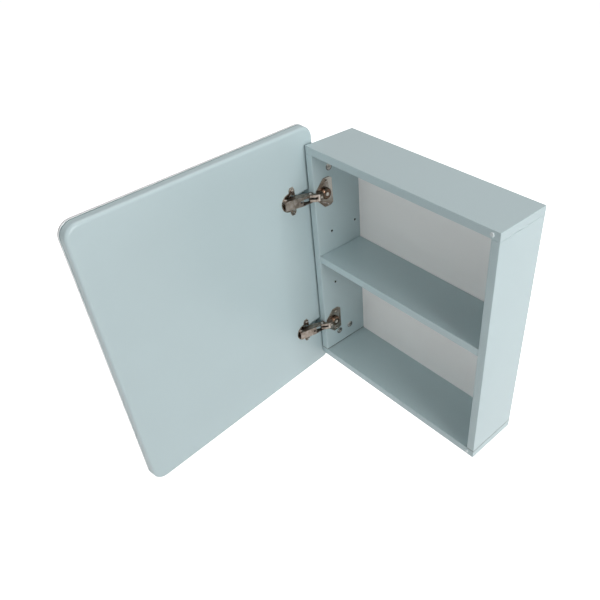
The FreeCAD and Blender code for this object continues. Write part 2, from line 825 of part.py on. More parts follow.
def build_outer_link(label, base, angle):
    link = new_body(label, base, angle)
    web_in = d.link_rise - d.link_web
    toe = outer_length + d.link_toe
    profile = [(0, -d.link_eye_radius), (d.link_belly_start, -d.link_belly_depth),
               (d.link_belly_end, -d.link_belly_depth), (outer_length, -d.link_eye_radius),
               (toe, 0), (toe, d.link_rise), (d.link_web_start, d.link_rise),
               (d.link_neck, d.link_neck_rise), (0, d.link_eye_radius)]
    pad(link, sketch(link, "XY_Plane", 0, [profile]), 2 * link_half, symmetric=True)
    for x in (0, outer_length):
        eye = sketch(link, "XY_Plane", 0, circles=[(x, 0, d.link_eye_radius)])
        pad(link, eye, 2 * link_half, symmetric=True)
    behind, beyond = -(2 * d.link_eye_radius), outer_length + 2 * d.link_eye_radius
    hollow = frame_outline(behind, beyond, -(2 * d.link_belly_depth), web_in)
    pocket(link, sketch(link, "XY_Plane", 0, [hollow]), 2 * link_in, symmetric=True)
    neck = frame_outline(behind, d.link_web_start, -(2 * d.link_belly_depth), 2 * d.link_rise)
    pocket(link, sketch(link, "XY_Plane", 0, [neck]), 2 * link_in, symmetric=True)
    for x in (0, outer_length):
        bore = sketch(link, "XY_Plane", 0, circles=[(x, 0, pivot_bore)])
        pocket(link, bore, 3 * link_half, symmetric=True)
    window = frame_outline(d.link_window_start, d.link_window_start + d.link_window_length,
                           -d.link_window_half, d.link_window_half)
    pocket(link, sketch(link, "XZ_Plane", 0, [window]), 3 * d.link_rise, symmetric=True)


def build_inner_link(label, base, angle):
    link = new_body(label, base, angle)
    neck, head = d.guide_eye_radius, d.guide_head_half
    near, tip = inner_length - d.guide_slot_travel, inner_length + d.guide_slot_travel
    profile = [(0, -neck), (near, -head), (tip, -head), (tip, head), (near, head), (0, neck)]
    width = 2 * d.inner_link_half
    pad(link, sketch(link, "XY_Plane", 0, [profile]), width, symmetric=True)
    pad(link, sketch(link, "XY_Plane", 0, circles=[(0, 0, neck)]), width, symmetric=True)
    pad(link, sketch(link, "XY_Plane", 0, circles=[(tip, 0, head)]), width, symmetric=True)
    pocket(link, sketch(link, "XY_Plane", 0, circles=[(0, 0, guide_bore)]), 2 * width, symmetric=True)
    slot = frame_outline(near, tip, -d.guide_slot_half, d.guide_slot_half)
    pocket(link, sketch(link, "XY_Plane", 0, [slot]), 2 * width, symmetric=True)
    for x in (near, tip):
        end = sketch(link, "XY_Plane", 0, circles=[(x, 0, d.guide_slot_half)])
        pocket(link, end, 2 * width, symmetric=True)


def build_cup(label, base):
    cup = new_body(label, base, turn)
    bore = d.cup_radius - d.cup_wall
    pad(cup, sketch(cup, "XZ_Plane", 0, circles=[(d.cup_along, 0, d.cup_radius)]), d.cup_depth)
    rim = [(d.cup_along, 0, d.cup_flange_radius)]
    pad(cup, sketch(cup, "XZ_Plane", 0, circles=rim), d.cup_flange, reverse=True)
    half, tip, reach = d.cup_wing_half, d.cup_wing_tip_half, d.cup_wing_reach
    middle, shoulder = cup_screw_along, d.cup_screw_reach
    wings = [(middle - half, -shoulder), (middle - tip, -reach), (middle + tip, -reach),
             (middle + half, -shoulder), (middle + half, shoulder), (middle + tip, reach),
             (middle - tip, reach), (middle - half, shoulder)]
    pad(cup, sketch(cup, "XZ_Plane", 0, [wings]), d.cup_flange, reverse=True)
    inside = sketch(cup, "XZ_Plane", -d.cup_flange, circles=[(d.cup_along, 0, bore)])
    pocket(cup, inside, d.cup_depth - d.cup_wall + d.cup_flange, reverse=True)
    floor = d.cup_wall - d.cup_depth
    mouth = frame_outline(d.cup_along - d.cup_flange_radius - over, d.cup_along - d.cup_radius / 2,
                          floor, d.cup_flange + over)
    pocket(cup, sketch(cup, "XY_Plane", 0, [mouth]), 2 * channel_half, symmetric=True)
    lug = d.cup_pivot_along
    lugs = [(lug - d.cup_lug_half, 0), (lug + d.cup_lug_half, 0), (lug + d.cup_lug_half, d.cup_pivot_height),
            (lug, d.cup_lug_rise), (lug - d.cup_lug_half, d.cup_pivot_height)]
    pad(cup, sketch(cup, "XY_Plane", 0, [lugs]), 2 * lug_out, symmetric=True)
    gap = frame_outline(lug - 2 * d.cup_lug_half, lug + d.cup_lug_half, -d.cup_flange, 2 * d.cup_lug_rise)
    pocket(cup, sketch(cup, "XY_Plane", 0, [gap]), 2 * lug_in, symmetric=True)
    post = d.guide_cup_along
    posts = frame_outline(post - d.guide_lug_half, post + d.guide_lug_half, floor, -d.guide_lug_rise)
    pad(cup, sketch(cup, "XY_Plane", 0, [posts]), 2 * (cheek_in + d.guide_lug_wall), symmetric=True)
    between = frame_outline(post - 2 * d.guide_lug_half, post + 2 * d.guide_lug_half, floor, over)
    pocket(cup, sketch(cup, "XY_Plane", 0, [between]), 2 * cheek_in, symmetric=True)
    lug_hole = (lug, d.cup_pivot_height, d.pivot_radius + d.snug_fit)
    pocket(cup, sketch(cup, "XY_Plane", 0, circles=[lug_hole]), 3 * lug_out, symmetric=True)
    post_hole = (post, -d.guide_cup_depth, d.guide_pin_radius + d.snug_fit)
    pocket(cup, sketch(cup, "XY_Plane", 0, circles=[post_hole]), 2 * lug_in, symmetric=True)
    bores = [(middle, z, screw_bore) for z in (-shoulder, shoulder)]
    pocket(cup, sketch(cup, "XZ_Plane", 0, circles=bores), d.cup_flange + over)


for name, z in hinge_heights.items():
    seat = (left + d.board, front, z)
    door_seat = (door_x, door_y, z)
    build_plate(f"{name}_hinge_plate", seat)
    screws = [place(cross_screw(), (d.plate_thickness, d.plate_screw_column, offset), (0, 1, 0), 90)
              for offset in (-d.plate_screw_height, d.plate_screw_height)]
    finished(place(group(screws), seat), f"{name}_plate_screws")
    build_arm(f"{name}_hinge_arm", seat)
    finished(place(arm_cap(), seat), f"{name}_arm_cap")
    depth_screw = adjust_screw(d.adjust_screw_depth, d.cap_rise, d.depth_screw_column, cap_seat)
    finished(place(depth_screw, seat), f"{name}_depth_screw")
    side_screw = adjust_screw(d.adjust_screw_seat, d.side_screw_rise, d.side_screw_column)
    finished(place(side_screw, seat), f"{name}_side_screw")
    pivot_spot = (-d.arm_pivot_back, -d.arm_pivot_out)
    stub_length = link_half - cheek_in
    stubs = [rod(d.pivot_radius, stub_length, (*pivot_spot, base)) for base in (cheek_in, -link_half)]
    guide_pin = rod(d.guide_pin_radius, 2 * arm_half, (-d.guide_pivot_back, -d.guide_pivot_out, -arm_half))
    finished(place(group(stubs + [guide_pin]), seat), f"{name}_arm_pins")
    build_outer_link(f"{name}_outer_link", (*arm_pivot, z), heading(arm_pivot, cup_pivot))
    build_inner_link(f"{name}_inner_link", (*guide_pivot, z), heading(guide_pivot, guide_cup))
    build_cup(f"{name}_hinge_cup", door_seat)
    screws = [place(cross_screw(), (cup_screw_along, d.cup_flange, offset), (1, 0, 0), -90)
              for offset in (-d.cup_screw_reach, d.cup_screw_reach)]
    finished(place(group(screws), door_seat, (0, 0, 1), turn), f"{name}_cup_screws")
    post_half = cheek_in + d.guide_lug_wall
    pins = [rod(d.pivot_radius, 2 * lug_out, (d.cup_pivot_along, d.cup_pivot_height, -lug_out)),
            rod(d.guide_pin_radius, 2 * post_half, (d.guide_cup_along, -d.guide_cup_depth, -post_half))]
    finished(place(group(pins), door_seat, (0, 0, 1), turn), f"{name}_cup_pins")
    spring = box((d.spring_length, d.spring_thickness, 2 * spring_half),
                 (d.cup_along - d.spring_length / 2, d.cup_wall - d.cup_depth, -spring_half))
    finished(place(group([spring]), door_seat, (0, 0, 1), turn), f"{name}_cup_spring")

doc.recompute()
for item in doc.Objects:
    faults = [state for state in item.State if state in ("Invalid", "Error")]
    if faults:
        raise RuntimeError(f"{item.Label} ({item.Name}) is {faults}")
os.makedirs("parts", exist_ok=True)
for item in subparts:
    shape = item.Shape
    if shape.isNull() or not shape.isValid() or not shape.Solids:
        raise RuntimeError(f"{item.Label} has no valid solid")
    print(f"{item.Label:22s} solids {len(shape.Solids):3d} volume {shape.Volume:12.1f} {shape.BoundBox}")
    shape.exportStep(f"parts/{item.Label}.step")
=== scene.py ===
import bmesh
import bpy
import json
import math
from mathutils import Matrix, Vector


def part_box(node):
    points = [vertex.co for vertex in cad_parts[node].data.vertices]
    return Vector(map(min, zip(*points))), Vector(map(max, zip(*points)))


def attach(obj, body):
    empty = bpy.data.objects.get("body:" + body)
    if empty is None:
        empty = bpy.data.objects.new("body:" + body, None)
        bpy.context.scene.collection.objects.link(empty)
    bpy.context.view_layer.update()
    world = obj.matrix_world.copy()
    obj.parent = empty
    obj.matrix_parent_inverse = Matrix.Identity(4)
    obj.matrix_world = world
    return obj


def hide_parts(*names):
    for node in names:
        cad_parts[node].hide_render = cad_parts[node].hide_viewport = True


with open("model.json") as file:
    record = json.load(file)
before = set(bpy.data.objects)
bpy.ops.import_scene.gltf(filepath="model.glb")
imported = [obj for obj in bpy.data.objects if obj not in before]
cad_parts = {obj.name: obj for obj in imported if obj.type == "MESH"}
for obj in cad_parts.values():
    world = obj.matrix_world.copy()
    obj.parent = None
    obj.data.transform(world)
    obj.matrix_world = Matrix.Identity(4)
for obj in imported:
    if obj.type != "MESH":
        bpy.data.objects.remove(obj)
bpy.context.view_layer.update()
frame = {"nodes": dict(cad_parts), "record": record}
nodes = frame["nodes"]
print("frame:", len(nodes), "nodes")


# node building

def addNode(tree, kind, **settings):
    node = tree.nodes.new(kind)
    for key, value in settings.items():
        setattr(node, key, value)
    return node


def wire(tree, source, target):
    tree.links.new(source, target)


def feed(tree, value, socket):
    if hasattr(value, "links"):  # another node's socket
        wire(tree, value, socket)
    else:
        socket.default_value = value


def mathNode(tree, operation, *values):
    node = addNode(tree, "ShaderNodeMath", operation=operation)
    for value, socket in zip(values, node.inputs):
        feed(tree, value, socket)
    return node.outputs[0]


def noiseNode(tree, place, scale, detail):
    node = addNode(tree, "ShaderNodeTexNoise")
    wire(tree, place, node.inputs["Vector"])
    feed(tree, scale, node.inputs["Scale"])
    node.inputs["Detail"].default_value = detail
    return node.outputs["Fac"]


def rangeNode(tree, value, fromSpan=(0.0, 1.0), toSpan=(0.0, 1.0)):
    node = addNode(tree, "ShaderNodeMapRange")
    wire(tree, value, node.inputs["Value"])
    node.inputs["From Min"].default_value, node.inputs["From Max"].default_value = fromSpan
    node.inputs["To Min"].default_value, node.inputs["To Max"].default_value = toSpan
    return node.outputs["Result"]


mixSockets = {  # first input, second input, output
    "RGBA": (6, 7, 2),
    "FLOAT": (2, 3, 0),
}


def mixNode(tree, kind, factor, first, second):
    node = addNode(tree, "ShaderNodeMix", data_type=kind)
    firstAt, secondAt, resultAt = mixSockets[kind]
    wire(tree, factor, node.inputs["Factor"])
    feed(tree, first, node.inputs[firstAt])
    feed(tree, second, node.inputs[secondAt])
    return node.outputs[resultAt]


surfaceOutputs = [("tone", "NodeSocketColor"), ("rough", "NodeSocketFloat"), ("height", "NodeSocketFloat")]


def newGroup(name, inputs):
    group = bpy.data.node_groups.new(name, "ShaderNodeTree")
    for label, kind, default in inputs:
        socket = group.interface.new_socket(label, in_out="INPUT", socket_type=kind)
        socket.default_value = default
    for label, kind in surfaceOutputs:
        group.interface.new_socket(label, in_out="OUTPUT", socket_type=kind)
    return group, addNode(group, "NodeGroupInput"), addNode(group, "NodeGroupOutput")


sprayLook = {
    "cloudScale": 7,
    "cloudDetail": 3,
    "fineScale": 2400,
    "fineDetail": 2,
    "peelDetail": 4,
    "noiseMiddle": 0.5,
    "roughSpan": (-0.06, 0.06),
}


# slow drift of tone, fine speckle and a relief height, for sprayed and faced boards
def makeSprayGroup():
    group, given, result = newGroup("sprayedSurface", [
        ("tone", "NodeSocketColor", (0.5, 0.6, 0.6, 1)), ("drift", "NodeSocketFloat", 0.05),
        ("speckle", "NodeSocketFloat", 0.03), ("peelScale", "NodeSocketFloat", 900.0)])
    place = addNode(group, "ShaderNodeTexCoord").outputs["Object"]
    cloud = noiseNode(group, place, sprayLook["cloudScale"], sprayLook["cloudDetail"])
    fine = noiseNode(group, place, sprayLook["fineScale"], sprayLook["fineDetail"])
    peel = noiseNode(group, place, given.outputs["peelScale"], sprayLook["peelDetail"])
    shifts = []
    for texture, amount in ((cloud, "drift"), (fine, "speckle")):
        centred = mathNode(group, "SUBTRACT", texture, sprayLook["noiseMiddle"])
        shifts.append(mathNode(group, "MULTIPLY", centred, given.outputs[amount]))
    level = mathNode(group, "ADD", mathNode(group, "ADD", *shifts), 1.0)
    toned = addNode(group, "ShaderNodeHueSaturation")
    wire(group, given.outputs["tone"], toned.inputs["Color"])
    wire(group, level, toned.inputs["Value"])
    wire(group, toned.outputs["Color"], result.inputs["tone"])
    wire(group, rangeNode(group, cloud, toSpan=sprayLook["roughSpan"]), result.inputs["rough"])
    wire(group, peel, result.inputs["height"])
    return group


plateLook = {
    "stretch": (1.0, 0.12, 1.0),
    "blotchDetail": 5,
    "scratchDetail": 3,
    "dullSpan": (0.35, 0.68),
    "roughSpan": (-0.08, 0.12),
    "wearAndHighlightSpan": (0.52, 0.60),
    "wearAndHighlightTone": (0.86, 0.80, 0.74, 1),
}


# tarnish blotches, drawn scratches and convex edges made lighter, partly rubbed wear and partly painted
# highlight, for plated and cast metal
def makePlateGroup():
    group, given, result = newGroup("platedSurface", [
        ("bright", "NodeSocketColor", (0.7, 0.66, 0.6, 1)), ("dull", "NodeSocketColor", (0.3, 0.25, 0.2, 1)),
        ("blotch", "NodeSocketFloat", 120.0), ("scratch", "NodeSocketFloat", 900.0),
        ("edge", "NodeSocketFloat", 0.0), ("wear", "NodeSocketFloat", 1.0)])
    place = addNode(group, "ShaderNodeTexCoord").outputs["Object"]
    stretch = addNode(group, "ShaderNodeMapping")
    stretch.inputs["Scale"].default_value = plateLook["stretch"]
    wire(group, place, stretch.inputs["Vector"])
    blotch = noiseNode(group, place, given.outputs["blotch"], plateLook["blotchDetail"])
    drawn = stretch.outputs["Vector"]
    scratch = noiseNode(group, drawn, given.outputs["scratch"], plateLook["scratchDetail"])
    dulled = rangeNode(group, blotch, fromSpan=plateLook["dullSpan"])
    mixed = mixNode(group, "RGBA", dulled, given.outputs["bright"], given.outputs["dull"])
    form = addNode(group, "ShaderNodeNewGeometry")
    # convex edges found by pointiness get a lighter tone: rubbed wear and painted highlight
    wearAndHighlightMask = rangeNode(group, form.outputs["Pointiness"], fromSpan=plateLook["wearAndHighlightSpan"])
    wearAndHighlightAmount = mathNode(group, "MULTIPLY", wearAndHighlightMask, given.outputs["edge"])
    wearAndHighlightColour = mixNode(group, "RGBA", wearAndHighlightAmount, mixed, plateLook["wearAndHighlightTone"])
    rough = rangeNode(group, scratch, toSpan=plateLook["roughSpan"])
    wire(group, wearAndHighlightColour, result.inputs["tone"])
    wire(group, mathNode(group, "MULTIPLY", rough, given.outputs["wear"]), result.inputs["rough"])
    wire(group, scratch, result.inputs["height"])
    return group


sprayGroup = makeSprayGroup()
plateGroup = makePlateGroup()


def newMaterial(name):
    finish = bpy.data.materials.new(name)
    finish.use_nodes = True
    return finish, finish.node_tree, finish.node_tree.nodes["Principled BSDF"]


def newFinish(name, look):
    finish, tree, shader = newMaterial(name)
    surface = addNode(tree, "ShaderNodeGroup", node_tree=look["group"])
    for key, value in look["surface"].items():
        surface.inputs[key].default_value = value
    wire(tree, surface.outputs["tone"], shader.inputs["Base Color"])
    wire(tree, mathNode(tree, "ADD", surface.outputs["rough"], look["rough"]), shader.inputs["Roughness"])
    relief = addNode(tree, "ShaderNodeBump")
    relief.inputs["Strength"].default_value = look["bump"]
    relief.inputs["Distance"].default_value = look["depth"]
    wire(tree, surface.outputs["height"], relief.inputs["Height"])
    wire(tree, relief.outputs["Normal"], shader.inputs["Normal"])
    for key, value in look["shader"].items():
        shader.inputs[key].default_value = value
    return finish


finishLooks = {
    "blueLacquer": {
        "group": sprayGroup, "rough": 0.42, "bump": 0.10, "depth": 0.0004,
        "surface": {"tone": (0.502, 0.615, 0.636, 1), "drift": 0.05, "speckle": 0.05, "peelScale": 700.0},
        "shader": {"Specular IOR Level": 0.5, "Coat Weight": 0.35, "Coat Roughness": 0.25},
    },
    "whiteBoard": {
        "group": sprayGroup, "rough": 0.62, "bump": 0.12, "depth": 0.0004,
        "surface": {"tone": (0.87, 0.855, 0.84, 1), "drift": 0.04, "speckle": 0.10, "peelScale": 1400.0},
        "shader": {"Specular IOR Level": 0.3},
    },
    "foamTape": {
        "group": sprayGroup, "rough": 0.85, "bump": 0.4, "depth": 0.0004,
        "surface": {"tone": (0.78, 0.78, 0.76, 1), "drift": 0.05, "speckle": 0.25, "peelScale": 2600.0},
        "shader": {"Specular IOR Level": 0.2},
    },
    "hingeNickel": {
        "group": plateGroup, "rough": 0.33, "bump": 0.10, "depth": 0.0002,
        "surface": {"bright": (0.35, 0.305, 0.26, 1), "dull": (0.14, 0.10, 0.075, 1),
                    "blotch": 130.0, "scratch": 1500.0, "edge": 0.5},
        "shader": {"Metallic": 1.0},
    },
    "plateNickel": {
        "group": plateGroup, "rough": 0.24, "bump": 0.12, "depth": 0.0002,
        "surface": {"bright": (0.41, 0.33, 0.265, 1), "dull": (0.17, 0.115, 0.08, 1),
                    "blotch": 130.0, "scratch": 1300.0, "edge": 0.9},
        "shader": {"Metallic": 1.0},
    },
    "capBrown": {
        "group": plateGroup, "rough": 0.15, "bump": 0.05, "depth": 0.0002,
        "surface": {"bright": (0.29, 0.185, 0.13, 1), "dull": (0.12, 0.068, 0.045, 1),
                    "blotch": 150.0, "scratch": 1300.0, "edge": 0.5},
        "shader": {"Metallic": 1.0},
    },
    "screwNickel": {
        "group": plateGroup, "rough": 0.46, "bump": 0.08, "depth": 0.0002,
        "surface": {"bright": (0.95, 0.91, 0.86, 1), "dull": (0.72, 0.66, 0.60, 1),
                    "blotch": 200.0, "scratch": 2200.0},
        "shader": {"Metallic": 1.0},
    },
    # dark zinc tone: the metal's own tone with painted shade of the cam bores added
    "castZinc": {
        "group": plateGroup, "rough": 0.40, "bump": 0.35, "depth": 0.0004,
        "surface": {"bright": (0.17, 0.175, 0.18, 1), "dull": (0.06, 0.065, 0.07, 1),
                    "blotch": 260.0, "scratch": 1200.0, "edge": 0.9},
        "shader": {"Metallic": 1.0},
    },
    "clearBumper": {
        "group": sprayGroup, "rough": 0.16, "bump": 0.05, "depth": 0.0003,
        "surface": {"tone": (0.68, 0.75, 0.76, 1), "drift": 0.06, "speckle": 0.05, "peelScale": 900.0},
        "shader": {"Coat Weight": 0.8, "Coat Roughness": 0.08},
    },
    "mirrorSilver": {
        "group": plateGroup, "rough": 0.035, "bump": 0.0003, "depth": 0.0001,
        "surface": {"bright": (0.74, 0.785, 0.795, 1), "dull": (0.68, 0.73, 0.745, 1),
                    "blotch": 4.0, "scratch": 60.0, "wear": 0.15},
        "shader": {"Metallic": 1.0},
    },
    # near-white rim tone under a clear coat: painted highlight standing for the glass edge's reflection
    "rimPaintedHighlight": {
        "group": sprayGroup, "rough": 0.10, "bump": 0.05, "depth": 0.0003,
        "surface": {"tone": (0.93, 0.95, 0.95, 1), "drift": 0.06, "speckle": 0.06, "peelScale": 500.0},
        "shader": {"Coat Weight": 1.0, "Coat Roughness": 0.04},
    },
    # very dark fibre tone: raw fibre with painted shade
    "fibreAndPaintedShade": {
        "group": sprayGroup, "rough": 0.9, "bump": 0.4, "depth": 0.0005,
        "surface": {"tone": (0.075, 0.065, 0.055, 1), "drift": 0.3, "speckle": 0.5, "peelScale": 1800.0},
        "shader": {"Specular IOR Level": 0.1},
    },
    # dark rim tone: painted shade, standing for the glass edge seen dark at a grazing angle
    "rimPaintedShade": {
        "group": sprayGroup, "rough": 0.35, "bump": 0.05, "depth": 0.0003,
        "surface": {"tone": (0.055, 0.055, 0.06, 1), "drift": 0.2, "speckle": 0.2, "peelScale": 700.0},
        "shader": {"Coat Weight": 0.5, "Coat Roughness": 0.1},
    },
}
finishes = {name: newFinish(name, look) for name, look in finishLooks.items()}

beechLook = {
    "ringScale": 220,
    "ringDistortion": 6,
    "ringDetail": 3,
    "tones": ((0.55, 0.38, 0.22, 1), (0.72, 0.54, 0.35, 1)),
    "rough": 0.7,
}


# beech grain: distorted diagonal bands
def makeBeech():
    finish, tree, shader = newMaterial("beechDowel")
    place = addNode(tree, "ShaderNodeTexCoord")
    rings = addNode(tree, "ShaderNodeTexWave", wave_type="BANDS", bands_direction="DIAGONAL")
    rings.inputs["Scale"].default_value = beechLook["ringScale"]
    rings.inputs["Distortion"].default_value = beechLook["ringDistortion"]
    rings.inputs["Detail"].default_value = beechLook["ringDetail"]
    wire(tree, place.outputs["Object"], rings.inputs["Vector"])
    ramp = addNode(tree, "ShaderNodeValToRGB")
    for element, tone in zip(ramp.color_ramp.elements, beechLook["tones"]):
        element.color = tone
    wire(tree, rings.outputs["Fac"], ramp.inputs["Fac"])
    wire(tree, ramp.outputs["Color"], shader.inputs["Base Color"])
    shader.inputs["Roughness"].default_value = beechLook["rough"]
    return finish


slotFinish = {
    "blue_lacquer": finishes["blueLacquer"],
    "white_board": finishes["whiteBoard"],
    "hinge_nickel": finishes["hingeNickel"],
    "screw_nickel": finishes["screwNickel"],
    "pin_nickel": finishes["screwNickel"],
    "spring_steel": finishes["castZinc"],
    "zinc": finishes["castZinc"],
    "beech": makeBeech(),
    "clear_bumper": finishes["clearBumper"],
    "mirror_glass": finishes["mirrorSilver"],
    "foam_tape": finishes["foamTape"],
}
nodeSlot = {part["node"]: part["material_slot"] for part in frame["record"]["subparts"]}
bodies = frame["record"]["behaviour"]["bodies"]
nodeBody = {node: body for body, members in bodies.items() for node in members}
for name, node in nodes.items():
    node.data.materials.clear()
    node.data.materials.append(slotFinish[nodeSlot[name]])
print("finishes:", len(slotFinish))


# pieces made from a copy of a solid

meshLook = {
    "weld": 2e-6,
    "split": 1e-6,
    "flatAngle": math.radians(1.0),
    "rollAngle": math.radians(32),
    "rollSteps": 3,
    "sharpRoll": math.radians(48),
    "sharpHead": math.radians(40),
    "sharpBoard": math.radians(9),
}


def plainMesh(piece):
    graph = bpy.context.evaluated_depsgraph_get()
    mesh = bpy.data.meshes.new_from_object(piece.evaluated_get(graph))
    piece.modifiers.clear()
    old = piece.data
    piece.data = mesh
    bpy.data.meshes.remove(old)


def addPiece(name, data):
    piece = bpy.data.objects.new(name, data)
    bpy.context.scene.collection.objects.link(piece)
    return piece


def mergedCopy(nodeName, pieceName):
    mesh = nodes[nodeName].data.copy()
    work = bmesh.new()
    work.from_mesh(mesh)
    bmesh.ops.remove_doubles(work, verts=work.verts, dist=meshLook["weld"])
    bmesh.ops.dissolve_limit(work, angle_limit=meshLook["flatAngle"], verts=work.verts, edges=work.edges)
    work.to_mesh(mesh)
    work.free()
    return addPiece(pieceName, mesh)


def splitMesh(mesh, place, heading):
    work = bmesh.new()
    work.from_mesh(mesh)
    every = work.verts[:] + work.edges[:] + work.faces[:]
    bmesh.ops.bisect_plane(work, geom=every, plane_co=place, plane_no=heading, dist=meshLook["split"])
    work.to_mesh(mesh)
    work.free()


def smoothMesh(mesh, sharpAngle):
    mesh.shade_smooth()
    mesh.set_sharp_from_angle(angle=sharpAngle)


def settle(piece, nodeName):
    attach(piece, nodeBody[nodeName])
    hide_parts(nodeName)


# pressed metal: the solid's own shape with its edges rolled over
def rolledCopy(nodeName, width, finish):
    piece = mergedCopy(nodeName, nodeName + "_rolled")
    piece.data.materials[0] = finish
    bevel = piece.modifiers.new("roll", "BEVEL")
    bevel.width = width
    bevel.segments = meshLook["rollSteps"]
    bevel.limit_method = "ANGLE"
    bevel.angle_limit = meshLook["rollAngle"]
    plainMesh(piece)
    smoothMesh(piece.data, meshLook["sharpRoll"])
    even = piece.modifiers.new("even", "WEIGHTED_NORMAL")
    even.keep_sharp = True
    plainMesh(piece)
    settle(piece, nodeName)


boardLook = {
    "margin": 0.0012,
    "joint": 0.0018,  # band of painted shade: the rounded arris and as much again above it
}


# drilled boards: raw fibre, darkened as painted shade, inside the holes, and a band of painted shade along
# the joint with the bottom board
def drilledCopy(nodeName):
    piece = mergedCopy(nodeName, nodeName + "_drilled")
    mesh = piece.data
    mesh.materials.append(finishes["fibreAndPaintedShade"])
    low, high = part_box(nodeName)
    margin = boardLook["margin"]
    jointTop = low[2] + boardLook["joint"]
    splitMesh(mesh, (0, 0, jointTop), (0, 0, 1))
    for face in mesh.polygons:
        inside = all(low[i] + margin < face.center[i] < high[i] - margin for i in range(3))
        face.material_index = 1 if inside or face.center[2] < jointTop else 0
    smoothMesh(mesh, meshLook["sharpBoard"])
    settle(piece, nodeName)


for nodeName in ("left_side_panel", "right_side_panel"):
    drilledCopy(nodeName)
# the holes show raw fibre darkened as painted shade; the joint band is painted shade
print("boards: drilled holes and joints show raw fibre")

camRoll = 0.0004
rolledEdges = {
    "hinge_plate": (0.0005, finishes["plateNickel"]),
    "hinge_arm": (0.0005, finishes["hingeNickel"]),
    "arm_cap": (0.0003, finishes["capBrown"]),
    "outer_link": (0.0006, finishes["hingeNickel"]),
    "inner_link": (0.0004, finishes["hingeNickel"]),
    "hinge_cup": (0.0003, finishes["plateNickel"]),
}
rolledCopy("cam_housings", camRoll, finishes["castZinc"])
for side in ("upper", "lower"):
    for part, (width, finish) in rolledEdges.items():
        rolledCopy(f"{side}_{part}", width, finish)
print("hinges: rolled edges on", 2 * len(rolledEdges), "pieces")


# fasteners: one node tree for cross-headed screws, one for plain domes

def newTree(name, inputs):
    tree = bpy.data.node_groups.new(name, "GeometryNodeTree")
    tree.interface.new_socket("Geometry", in_out="INPUT", socket_type="NodeSocketGeometry")
    for label, kind, default in inputs:
        socket = tree.interface.new_socket(label, in_out="INPUT", socket_type=kind)
        if default is not None:
            socket.default_value = default
    tree.interface.new_socket("Geometry", in_out="OUTPUT", socket_type="NodeSocketGeometry")
    return tree, addNode(tree, "NodeGroupInput"), addNode(tree, "NodeGroupOutput")


def vectorOf(tree, *values):
    node = addNode(tree, "ShaderNodeCombineXYZ")
    for value, socket in zip(values, node.inputs):
        feed(tree, value, socket)
    return node.outputs[0]


def placeCopies(tree, given, result, shape):
    spread = addNode(tree, "GeometryNodeInstanceOnPoints")
    wire(tree, given.outputs["Geometry"], spread.inputs["Points"])
    wire(tree, shape, spread.inputs["Instance"])
    turn = addNode(tree, "FunctionNodeEulerToRotation")
    wire(tree, given.outputs["turn"], turn.inputs[0])
    spin = addNode(tree, "FunctionNodeRandomValue", data_type="FLOAT")
    spin.inputs["Max"].default_value = math.pi
    wire(tree, given.outputs["seed"], spin.inputs["Seed"])
    own = addNode(tree, "FunctionNodeEulerToRotation")
    wire(tree, vectorOf(tree, 0.0, 0.0, spin.outputs[1]), own.inputs[0])
    both = addNode(tree, "FunctionNodeRotateRotation", rotation_space="LOCAL")
    wire(tree, turn.outputs[0], both.inputs[0])
    wire(tree, own.outputs[0], both.inputs[1])
    wire(tree, both.outputs[0], spread.inputs["Rotation"])
    real = addNode(tree, "GeometryNodeRealizeInstances")
    wire(tree, spread.outputs[0], real.inputs[0])
    coat = addNode(tree, "GeometryNodeSetMaterial")
    wire(tree, real.outputs[0], coat.inputs["Geometry"])
    wire(tree, given.outputs["finish"], coat.inputs["Material"])
    wire(tree, coat.outputs[0], result.inputs["Geometry"])


domeLook = {
    "segments": 28,
    "rings": 14,
}


def domeShape(tree, given):
    ball = addNode(tree, "GeometryNodeMeshUVSphere")
    ball.inputs["Segments"].default_value = domeLook["segments"]
    ball.inputs["Rings"].default_value = domeLook["rings"]
    ball.inputs["Radius"].default_value = 1.0
    radius, height = given.outputs["radius"], given.outputs["height"]
    flat = addNode(tree, "GeometryNodeTransform")
    wire(tree, ball.outputs["Mesh"], flat.inputs["Geometry"])
    wire(tree, vectorOf(tree, radius, radius, height), flat.inputs["Scale"])
    return flat.outputs[0]


def crossBar(tree, given, lengthwise):
    bar = addNode(tree, "GeometryNodeMeshCube")
    depth = mathNode(tree, "MULTIPLY", given.outputs["recess"], 2.0)  # the bar is centred on the crown
    sides = (given.outputs["crossLength"], given.outputs["crossWidth"])
    first, second = sides if lengthwise else sides[::-1]
    wire(tree, vectorOf(tree, first, second, depth), bar.inputs["Size"])
    lift = addNode(tree, "GeometryNodeTransform")
    wire(tree, bar.outputs["Mesh"], lift.inputs["Geometry"])
    wire(tree, vectorOf(tree, 0.0, 0.0, given.outputs["height"]), lift.inputs["Translation"])
    return lift.outputs[0]


commonInputs = [("radius", "NodeSocketFloat", 0.003), ("height", "NodeSocketFloat", 0.001),
                ("turn", "NodeSocketVector", (0, 0, 0)), ("seed", "NodeSocketInt", 1),
                ("finish", "NodeSocketMaterial", None)]
crossInputs = [("crossLength", "NodeSocketFloat", 0.004), ("crossWidth", "NodeSocketFloat", 0.001),
               ("recess", "NodeSocketFloat", 0.001)]


def makeScrewTree():
    tree, given, result = newTree("crossScrews", commonInputs + crossInputs)
    cut = addNode(tree, "GeometryNodeMeshBoolean", operation="DIFFERENCE")
    wire(tree, domeShape(tree, given), cut.inputs["Mesh 1"])
    for lengthwise in (True, False):
        wire(tree, crossBar(tree, given, lengthwise), cut.inputs["Mesh 2"])
    placeCopies(tree, given, result, cut.outputs["Mesh"])
    return tree


def makeDomeTree():
    tree, given, result = newTree("plainDomes", commonInputs)
    placeCopies(tree, given, result, domeShape(tree, given))
    return tree


screwTree = makeScrewTree()
domeTree = makeDomeTree()


